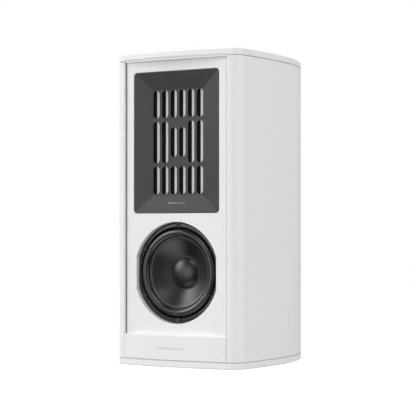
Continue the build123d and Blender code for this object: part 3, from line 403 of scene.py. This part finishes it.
WHITE = (0.87, 0.87, 0.866, 1.0)
TRIM_BAR = (24.0 * MM, 24.6 * MM, 27.6 * MM)
finishes = {
    "white_lacquer": lacquer("white_lacquer", WHITE),
    "black_cast": blasted("black_cast", grey(0.012), 0.3, 0.4, 1500.0, 0.01, ease=0.2, edge_wear_highlight_to=1.6),
    "dark_metal": blasted("dark_metal", grey(0.04), 0.4, 0.46, 2600.0, 0.012, specular=0.35),
    "black_steel": blasted("black_steel", grey(0.05), 0.24, 0.34, 1800.0, 0.01, ease=0.2),
    "black_plastic": moulded("black_plastic", grey(0.022), 0.38, 0.5),
    # 0.45 is the strength of the foil's painted light.
    "foil": ribbon("foil", (0.86, 0.85, 0.83, 1.0), 0.45),
    "ferrite": blasted("ferrite", grey(0.045), 0.55, 0.7, 1100.0, 0.06),
    "neodymium": moulded("neodymium", grey(0.004), 0.6, 0.75, 1400.0, 0.008, specular=0.1),
    "black_rubber": moulded("black_rubber", grey(0.010), 0.27, 0.33, 1300.0, 0.003, 0.3, specular=0.6),
    "cone_paper": fibrous("cone_paper", grey(0.013), 0.31, 0.36, 1500.0, 0.004, specular=0.75),
    "cap_gloss": moulded("cap_gloss", grey(0.013), 0.32, 0.36, 1800.0, 0.002, 0.3, specular=0.62),
    "zinc_steel": plated("zinc_steel", (0.62, 0.63, 0.62, 1.0), 0.25, 0.4),
    "brass": plated("brass", (0.78, 0.56, 0.24, 1.0), 0.16, 0.3, (1.0, 6.0, 1.0)),
    "copper": wound("copper", (0.72, 0.32, 0.16, 1.0), 289.52),
    "spider_cloth": woven("spider_cloth", (0.52, 0.36, 0.16, 1.0), 227.48, 0.7, 0.9),
    "kapton": plated("kapton", (0.62, 0.4, 0.14, 1.0), 0.2, 0.34),
    "board_green": board("board_green", (0.03, 0.16, 0.07, 1.0)),
    "capacitor_red": moulded("capacitor_red", (0.5, 0.05, 0.03, 1.0), 0.3, 0.42, 500.0, 0.02),
    "resistor_white": fibrous("resistor_white", grey(0.7), 0.75, 0.9, 900.0, 0.04),
    "felt": fibrous("felt", (0.3, 0.3, 0.31, 1.0), 0.85, 1.0, 420.0, 0.7, sheen=0.3),
    "bare_board": fibrous("bare_board", (0.42, 0.29, 0.17, 1.0), 0.7, 0.85, 350.0, 0.1),
    "red_plastic": moulded("red_plastic", (0.55, 0.02, 0.015, 1.0), 0.28, 0.4, 1200.0, 0.01),
    "knob_black": moulded("knob_black", grey(0.02), 0.28, 0.4, 1200.0, 0.01),
    "wire_pvc": moulded("wire_pvc", (0.28, 0.03, 0.03, 1.0), 0.35, 0.5, 700.0, 0.01),
}


def dress(piece, material):
    piece.data.materials.clear()
    piece.data.materials.append(material)


for subpart in record["subparts"]:
    dress(nodes[subpart["node"]], finishes[subpart["material_slot"]])
dress(nodes["lower_trim_plate"], lacquer("trim_lacquer", WHITE, TRIM_BAR))
# The grille's slot sides carry painted shade.
dress(nodes["slotted_grille"], slotted("grille_slot_shade", grey(0.044), grey(0.002)))


# ======== Turned pieces ========

def middle(node):
    """The height of a turned CAD node's axis."""
    low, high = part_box(node)
    return (low.z + high.z) / 2


def lathe(name, profile, z, segments, lift=None):
    """Turns a closed profile of (y, radius) about the axis along Y at height z. lift(angle, radius)
    moves the points back along y."""
    work = bmesh.new()
    rings = []
    for index in range(segments):
        angle = 2 * pi * index / segments
        ring = []
        for y, radius in profile:
            depth = y + (lift(angle, radius) if lift else 0.0)
            ring.append(work.verts.new((radius * cos(angle), depth, z + radius * sin(angle))))
        rings.append(ring)
    count = len(profile)
    for index in range(segments):
        here, there = rings[index], rings[(index + 1) % segments]
        for step in range(count):
            after = (step + 1) % count
            work.faces.new((here[step], here[after], there[after], there[step]))
    bmesh.ops.remove_doubles(work, verts=work.verts, dist=1e-7)
    bmesh.ops.dissolve_degenerate(work, edges=work.edges, dist=1e-8)
    bmesh.ops.recalc_face_normals(work, faces=work.faces)
    mesh = bpy.data.meshes.new(name)
    work.to_mesh(mesh)
    work.free()
    return present(name, mesh)


def present(name, mesh, sharp=38.0):
    """A smooth-shaded object of this mesh, sharp where its faces meet at more than sharp degrees."""
    mesh.shade_smooth()
    mesh.set_sharp_from_angle(angle=radians(sharp))
    piece = bpy.data.objects.new(name, mesh)
    bpy.context.scene.collection.objects.link(piece)
    return piece


def smooth(share):
    """share held between 0 and 1, with both ends eased."""
    held = min(1.0, max(0.0, share))
    return held * held * (3 - 2 * held)


def spread(piece, outer, inner, z, outer_body="cabinet", inner_body="cone_assembly"):
    """The piece follows outer_body at radius outer and inner_body at radius inner."""
    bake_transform(piece, outer_body, inner_body, (0, 0, z + outer), (0, 0, z + inner))
    weights = piece.data.attributes["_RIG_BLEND"].data
    for vertex, weight in zip(piece.data.vertices, weights):
        reach = sqrt(vertex.co.x**2 + (vertex.co.z - z) ** 2)
        weight.value = smooth((outer - reach) / (outer - inner))


def arc(start, crest, end, steps):
    """Half-ellipse of (y, radius) points from start to end with its top at depth crest."""
    (start_y, start_radius), (_, end_radius) = start, end
    centre = (start_radius + end_radius) / 2
    half = (start_radius - end_radius) / 2
    points = []
    for index in range(steps + 1):
        turn = pi * index / steps
        points.append((start_y + (crest - start_y) * sin(turn), centre + half * cos(turn)))
    return points


WOOFER_Z = middle("woofer_cone")
surround_low, surround_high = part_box("woofer_surround")
cone_low, cone_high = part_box("woofer_cone")
ROLL_OUTER = 61.5 * MM
ROLL_INNER = 50.6 * MM
SKIN = 0.8 * MM
GLUE = 0.3 * MM
ROLL_BASE = cone_low.y - GLUE
LIP_OUTER = surround_high.x
LIP_FRONT = surround_high.y - SKIN
LIP_INNER = ROLL_INNER - 2.2 * MM

FOLDS = (85.0, 25.0, -35.0, -95.0, -155.0, 145.0)
FOLD_LEAN = 9.0
FOLD_WIDTH = 1.1 * MM
FOLD_DEPTH = 0.75 * MM
RIDGE_SHARE = 0.45
RIDGE_PLACE = 1.8


def fold_lift(angle, radius):
    """Six narrow creases that cross the roll on a slant, deepest on its crest, each with a low ridge
    along one side."""
    across = (radius - ROLL_INNER) / (ROLL_OUTER - ROLL_INNER)
    if not 0.0 < across < 1.0:
        return 0.0
    lift = 0.0
    for fold in FOLDS:
        line = radians(fold + FOLD_LEAN * (across - 0.5))
        away = (angle - line + pi) % (2 * pi) - pi
        reach = away * radius / FOLD_WIDTH
        lift += FOLD_DEPTH * (exp(-reach * reach) - RIDGE_SHARE * exp(-((reach - RIDGE_PLACE) ** 2)))
    return lift * sin(pi * across)


roll_front = arc((ROLL_BASE, ROLL_OUTER), surround_low.y, (ROLL_BASE, ROLL_INNER), 28)
roll_back = arc(
    (ROLL_BASE, ROLL_INNER + SKIN), surround_low.y + SKIN, (ROLL_BASE, ROLL_OUTER - SKIN), 20
)
EASE = 0.3 * MM
surround_profile = [
    (LIP_FRONT + SKIN, LIP_OUTER - EASE), (LIP_FRONT + SKIN - EASE, LIP_OUTER),
    (LIP_FRONT + EASE, LIP_OUTER), (LIP_FRONT, LIP_OUTER - EASE), (LIP_FRONT, ROLL_OUTER + 0.5 * MM),
    (LIP_FRONT - 0.15 * MM, ROLL_OUTER + 0.1 * MM), *roll_front,
    (ROLL_BASE + 0.02 * MM, ROLL_INNER - 0.2 * MM), (ROLL_BASE, LIP_INNER + EASE),
    (ROLL_BASE + EASE, LIP_INNER), (cone_low.y, LIP_INNER), (cone_low.y, ROLL_INNER + SKIN), *roll_back,
    (LIP_FRONT + SKIN, ROLL_OUTER - SKIN),
]
surround = lathe("surround", surround_profile, WOOFER_Z, segments=900, lift=fold_lift)
# The roll's outer rubber carries painted shade.
dress(surround, rolled_rubber("roll_rubber", grey(0.01), 0.27, 0.32, WOOFER_Z, ROLL_OUTER + 0.2 * MM))
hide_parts("woofer_surround")
spread(surround, ROLL_OUTER, ROLL_INNER, WOOFER_Z)

# Rolled face of the basket's flange, with a pocket round each screw and flat sides
basket_low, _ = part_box("woofer_basket")
FLANGE_INNER = 64.1 * MM
FLANGE_OUTER = 70.9 * MM
FLANGE_SIDE = 67.0 * MM
FLANGE_RISE = 2.5 * MM
POCKET_RADIUS = 3.3 * MM
POCKET_EASE = 1.1 * MM
SCREW_CIRCLE = 66.8 * MM
SCREW_ANGLES = (30.0, 90.0, 150.0, 210.0, 270.0, 330.0)


def pocket_lift(angle, radius):
    """Sinks the rolled face to the casting round each screw."""
    share = 0.0
    for screw in SCREW_ANGLES:
        turn = angle - radians(screw)
        gap = sqrt(radius**2 + SCREW_CIRCLE**2 - 2 * radius * SCREW_CIRCLE * cos(turn))
        share = max(share, smooth((POCKET_RADIUS + POCKET_EASE - gap) / POCKET_EASE))
    return FLANGE_RISE * share


FLANGE_BACK = basket_low.y + 0.8 * MM
FLANGE_TURN = radians(80.0)
FLANGE_STEPS = 14
flange_width = (FLANGE_OUTER - FLANGE_INNER - EASE) / sin(FLANGE_TURN)
flange_profile = [(FLANGE_BACK, FLANGE_INNER), (basket_low.y - FLANGE_RISE + EASE, FLANGE_INNER)]
for index in range(FLANGE_STEPS + 1):
    turn = FLANGE_TURN * index / FLANGE_STEPS
    depth = basket_low.y - FLANGE_RISE * cos(turn)
    flange_profile.append((depth, FLANGE_INNER + EASE + flange_width * sin(turn)))
flange_profile.append((FLANGE_BACK, FLANGE_OUTER))
flange = lathe("flange_face", flange_profile, WOOFER_Z, segments=720, lift=pocket_lift)
for vertex in flange.data.vertices:
    vertex.co.x = min(FLANGE_SIDE, max(-FLANGE_SIDE, vertex.co.x))
    vertex.co.y = min(FLANGE_BACK, vertex.co.y)
# Just inside FLANGE_INNER this paint carries painted shade.
FLANGE_BLACK = basket_paint("flange_black", grey(0.005), 0.2, 0.26, WOOFER_Z, FLANGE_INNER - 0.1 * MM)
dress(flange, FLANGE_BLACK)
dress(nodes["woofer_basket"], FLANGE_BLACK)
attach(flange, "cabinet")

# Cone: a flat rim, a shallow groove, then a flank that bellies very slightly towards the neck
CAP_Y = -95.5 * MM
NECK = 24.0 * MM
CONE_TOP = 48.0 * MM
FLANK_STEPS = 26
THICKNESS = 1.0 * MM
BELLY = 0.45 * MM
THROAT = 19.4 * MM
THROAT_WALL = 1.2 * MM
GROOVE_RIM = LIP_INNER + 0.1 * MM
GROOVE_OUTER = LIP_INNER - 0.15 * MM
GROOVE_INNER = CONE_TOP - 0.1 * MM
GROOVE_Y = cone_low.y + 0.25 * MM
GROOVE_FALL = 0.05 * MM
FLANK_Y = cone_low.y + 0.35 * MM
FLANK_TOP = CONE_TOP - 0.5 * MM
flank = []
for index in range(FLANK_STEPS + 1):
    part = index / FLANK_STEPS
    depth = FLANK_Y + (CAP_Y - FLANK_Y) * part + BELLY * sin(pi * part)
    flank.append((depth, FLANK_TOP + (NECK - FLANK_TOP) * part))
front = [
    (cone_low.y, ROLL_INNER), (cone_low.y, GROOVE_RIM), (GROOVE_Y, GROOVE_OUTER),
    (GROOVE_Y + GROOVE_FALL, GROOVE_INNER), *flank, (cone_high.y - THROAT_WALL, THROAT),
]
back = [(cone_high.y, THROAT)]
for y, radius in reversed(flank):
    back.append((min(y + THICKNESS, cone_high.y), radius))
back += [(cone_low.y + THICKNESS, ROLL_INNER)]
cone = lathe("cone", front + back, WOOFER_Z, segments=240)
dress(cone, finishes["cone_paper"])
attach(cone, "cone_assembly")
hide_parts("woofer_cone")

# Dust cap: a dome seated in a thin bead of glue
cap_low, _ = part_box("dust_cap")
DOME_RADIUS = 22.4 * MM
DOME_TOP = cap_low.y
DOME_BASE = CAP_Y - 0.2 * MM
DOME_BEND = 0.86
DOME_SKIN = 0.7 * MM
DOME_INSET = 0.985
DOME_STEPS = 24


def sphere_sag(part):
    """How far a unit sphere falls away at this part of the dome's radius."""
    return 1 - sqrt(1 - (DOME_BEND * part) ** 2)


dome = []
back_dome = []
for index in range(DOME_STEPS + 1):
    part = index / DOME_STEPS
    depth = DOME_TOP + (DOME_BASE - DOME_TOP) * sphere_sag(part) / sphere_sag(1.0)
    dome.append((depth, DOME_RADIUS * part))
    back_dome.append((depth + DOME_SKIN, DOME_RADIUS * part * DOME_INSET))
cap = lathe("dust_dome", dome + back_dome[::-1], WOOFER_Z, segments=160)
dress(cap, finishes["cap_gloss"])
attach(cap, "cone_assembly")
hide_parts("dust_cap")
BEAD = 0.62 * MM
BEAD_FLATNESS = 0.75
BEAD_Y = CAP_Y - 0.25 * MM
BEAD_RADIUS = 24.3 * MM
BEAD_STEPS = 14
bead_ring = []
for index in range(BEAD_STEPS):
    turn = 2 * pi * index / BEAD_STEPS
    bead_ring.append((BEAD_Y + BEAD_FLATNESS * BEAD * sin(turn), BEAD_RADIUS + BEAD * cos(turn)))
bead = lathe("cap_bead", bead_ring, WOOFER_Z, segments=160)
dress(bead, finishes["black_rubber"])
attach(bead, "cone_assembly")

# Seat: a narrow ring behind the dome's edge, sloped like the cone
SEAT_Y = CAP_Y + 0.3 * MM
SEAT_RISE = 0.2 * MM
SEAT_SKIN = 0.6 * MM
SEAT_INNER = 22.0 * MM
SEAT_OUTER = 23.9 * MM
SEAT_BACK = 23.4 * MM
seat_ring = [
    (SEAT_Y + SEAT_RISE, SEAT_OUTER), (SEAT_Y, SEAT_INNER), (SEAT_Y + SEAT_SKIN, SEAT_INNER),
    (SEAT_Y + SEAT_SKIN + SEAT_RISE, SEAT_BACK),
]
seat = lathe("cap_seat", seat_ring, WOOFER_Z, segments=160)
dress(seat, finishes["cone_paper"])
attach(seat, "cone_assembly")

# Spider: corrugated cloth between the former and the basket
spider_low, spider_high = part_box("spider")
SPIDER_INNER = 19.5 * MM
SPIDER_OUTER = spider_high.x
CLOTH = 0.6 * MM
CREST = (spider_high.y - spider_low.y - CLOTH) / 2
SPIDER_MIDDLE = (spider_low.y + spider_high.y - CLOTH) / 2
LEDGE = 4.0 * MM
ROLLS = 4.5
FADE = 8  # the rolls fade in and out over an eighth of the width
SPIDER_STEPS = 90
front_cloth = []
for index in range(SPIDER_STEPS + 1):
    part = index / SPIDER_STEPS
    radius = SPIDER_INNER + (SPIDER_OUTER - LEDGE - SPIDER_INNER) * part
    height = CREST * min(1.0, FADE * part, FADE - FADE * part)
    front_cloth.append((SPIDER_MIDDLE - height * sin(2 * pi * ROLLS * part), radius))
front_cloth.append((SPIDER_MIDDLE, SPIDER_OUTER))
back_cloth = [(y + CLOTH, radius) for y, radius in reversed(front_cloth)]
cloth = lathe("spider_cloth", front_cloth + back_cloth, WOOFER_Z, segments=120)
dress(cloth, finishes["spider_cloth"])
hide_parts("spider")
spread(cloth, SPIDER_OUTER - LEDGE, SPIDER_INNER + 1.0 * MM, WOOFER_Z)


# ======== Plain maker's bar on the faceplate ========

CORNER_STEPS = 6


def plate(name, width, height, depth, corner, bevel):
    """Rounded bar lying in the XZ plane with its back at y = 0 and its face towards -Y."""
    work = bmesh.new()
    outline = []
    for cx, cz, start in (
        (width / 2 - corner, height / 2 - corner, 0.0), (corner - width / 2, height / 2 - corner, 0.5),
        (corner - width / 2, corner - height / 2, 1.0), (width / 2 - corner, corner - height / 2, 1.5),
    ):
        for index in range(CORNER_STEPS + 1):
            angle = pi * (start + 0.5 * index / CORNER_STEPS)
            outline.append((cx + corner * cos(angle), cz + corner * sin(angle)))
    base = work.faces.new([work.verts.new((x, 0.0, z)) for x, z in outline])
    raised = bmesh.ops.extrude_face_region(work, geom=[base])
    top = [item for item in raised["geom"] if isinstance(item, bmesh.types.BMVert)]
    bmesh.ops.translate(work, verts=top, vec=(0, -depth, 0))
    rim = [edge for edge in work.edges if all(abs(v.co.y + depth) < 1e-7 for v in edge.verts)]
    bmesh.ops.bevel(work, geom=rim, offset=bevel, segments=3, affect="EDGES", profile=0.5)
    bmesh.ops.recalc_face_normals(work, faces=work.faces)
    mesh = bpy.data.meshes.new(name)
    work.to_mesh(mesh)
    work.free()
    return present(name, mesh, 30.0)


face_low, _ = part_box("driver_faceplate")
DISH_SLOPE = radians(12.75)
MARK_Z = 229.0 * MM
DISH_EDGE_Z = face_low.z + 1.0 * MM
MARK_WIDTH = 30.0 * MM
MARK_HEIGHT = 2.2 * MM
MARK_DEPTH = 0.22 * MM
MARK_CORNER = 0.7 * MM
MARK_BEVEL = 0.08 * MM
MARK_SINK = 0.05 * MM
mark_y = face_low.y + (MARK_Z - DISH_EDGE_Z) * sin(DISH_SLOPE) / cos(DISH_SLOPE) + MARK_SINK
mark = plate("maker_bar", MARK_WIDTH, MARK_HEIGHT, MARK_DEPTH, MARK_CORNER, MARK_BEVEL)
mark.matrix_world = Matrix.Translation((0, mark_y, MARK_Z)) @ Matrix.Rotation(-DISH_SLOPE, 4, "X")
dress(mark, plated("bar_metal", grey(0.16), 0.34, 0.45, (6.0, 1.0, 1.0)))
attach(mark, "cabinet")


# ======== Floor, light and camera ========

FLOOR_SIZE = 6.0
FLOOR_GAP = 0.3 * MM
FLOOR_GLOW = 0.86
work = bmesh.new()
bmesh.ops.create_grid(work, x_segments=12, y_segments=12, size=FLOOR_SIZE / 2)
floor_mesh = bpy.data.meshes.new("floor")
work.to_mesh(floor_mesh)
work.free()
floor = bpy.data.objects.new("floor", floor_mesh)
bpy.context.scene.collection.objects.link(floor)
floor.location.z = cad_box[0].z - FLOOR_GAP
floor_tree = Tree("floor_paper")
paper = floor_tree.noise(60.0, 3.0)
floor_tone = floor_tree.mix(floor_tree.span(paper, 0.0, 1.0), grey(0.5), grey(0.52))
dress(floor, floor_tree.finish(floor_tone, floor_tree.span(paper, 0.85, 0.95), None, specular=0.1))
floor_tree.shader.inputs["Emission Color"].default_value = grey(1.0)
floor_tree.shader.inputs["Emission Strength"].default_value = FLOOR_GLOW
floor.visible_diffuse = False
floor.visible_glossy = False

# Each glow in the surroundings: azimuth and elevation of its middle, the angles from there where it
# ends and where it is full, and its strength. Azimuth 0 is straight in front, 90 to the right.
AMBIENT = 0.05
GLOWS = (
    (-34.0, 0.0, 30.0, 8.0, 0.45),
    (-6.0, 2.0, 32.0, 8.0, 2.3),
    (-73.0, 29.0, 24.0, 8.0, 5.0),
    (-50.0, 21.0, 21.0, 6.0, 4.8),
    (34.0, 57.0, 24.0, 8.0, 4.3),
    (86.0, 10.0, 40.0, 12.0, 2.35),
    (120.0, 12.0, 42.0, 12.0, 0.6),
    (160.0, 10.0, 42.0, 12.0, 0.8),
    (-116.0, 2.0, 36.0, 10.0, 1.4),
    (-150.0, 20.0, 50.0, 10.0, 0.5),
    (0.0, -80.0, 46.0, 14.0, 2.2),
)


def toward(azimuth, elevation):
    """Unit direction from the speaker towards a place in the surroundings."""
    across, up = radians(azimuth), radians(elevation)
    return Vector((sin(across) * cos(up), -cos(across) * cos(up), sin(up)))


world = bpy.data.worlds.new("studio")
bpy.context.scene.world = world
world.use_nodes = True
sky = world.node_tree
sky.nodes.clear()


def sky_sum(first, second):
    node = sky.nodes.new("ShaderNodeMath")
    node.operation = "ADD"
    for socket, value in zip(node.inputs, (first, second)):
        if hasattr(value, "links"):
            sky.links.new(value, socket)
        else:
            socket.default_value = value
    return node.outputs["Value"]


direction = sky.nodes.new("ShaderNodeTexCoord").outputs["Generated"]
total = AMBIENT
for azimuth, elevation, ends, full, strength in GLOWS:
    dot = sky.nodes.new("ShaderNodeVectorMath")
    dot.operation = "DOT_PRODUCT"
    sky.links.new(direction, dot.inputs[0])
    dot.inputs[1].default_value = toward(azimuth, elevation)
    fade = sky.nodes.new("ShaderNodeMapRange")
    fade.interpolation_type = "SMOOTHSTEP"
    fade.inputs["From Min"].default_value = cos(radians(ends))
    fade.inputs["From Max"].default_value = cos(radians(full))
    fade.inputs["To Max"].default_value = strength
    sky.links.new(dot.outputs["Value"], fade.inputs["Value"])
    total = sky_sum(total, fade.outputs["Result"])

# The glows light the speaker, and the camera sees plain white behind it
light = sky.nodes.new("ShaderNodeBackground")
sky.links.new(total, light.inputs["Strength"])
backdrop = sky.nodes.new("ShaderNodeBackground")
backdrop.inputs["Color"].default_value = grey(1.0)
chooser = sky.nodes.new("ShaderNodeMixShader")
sky.links.new(sky.nodes.new("ShaderNodeLightPath").outputs["Is Camera Ray"], chooser.inputs["Fac"])
sky.links.new(light.outputs["Background"], chooser.inputs[1])
sky.links.new(backdrop.outputs["Background"], chooser.inputs[2])
sky.links.new(chooser.outputs["Shader"], sky.nodes.new("ShaderNodeOutputWorld").inputs["Surface"])
bpy.context.scene.view_settings.view_transform = "Standard"

CAMERA_LENS = 143.47
CAMERA_AZIMUTH = 33.472
CAMERA_PITCH = 0.7965
CAMERA_PLACE = (1.31456, -2.02506, 0.18967)
camera_data = bpy.data.cameras.new("camera")
camera_data.lens = CAMERA_LENS
camera_data.sensor_width = 36.0
camera = bpy.data.objects.new("camera", camera_data)
bpy.context.scene.collection.objects.link(camera)
forward = -toward(CAMERA_AZIMUTH, -CAMERA_PITCH)
camera.location = CAMERA_PLACE
camera.rotation_euler = forward.to_track_quat("-Z", "Y").to_euler()
bpy.context.scene.camera = camera

bpy.context.view_layer.update()
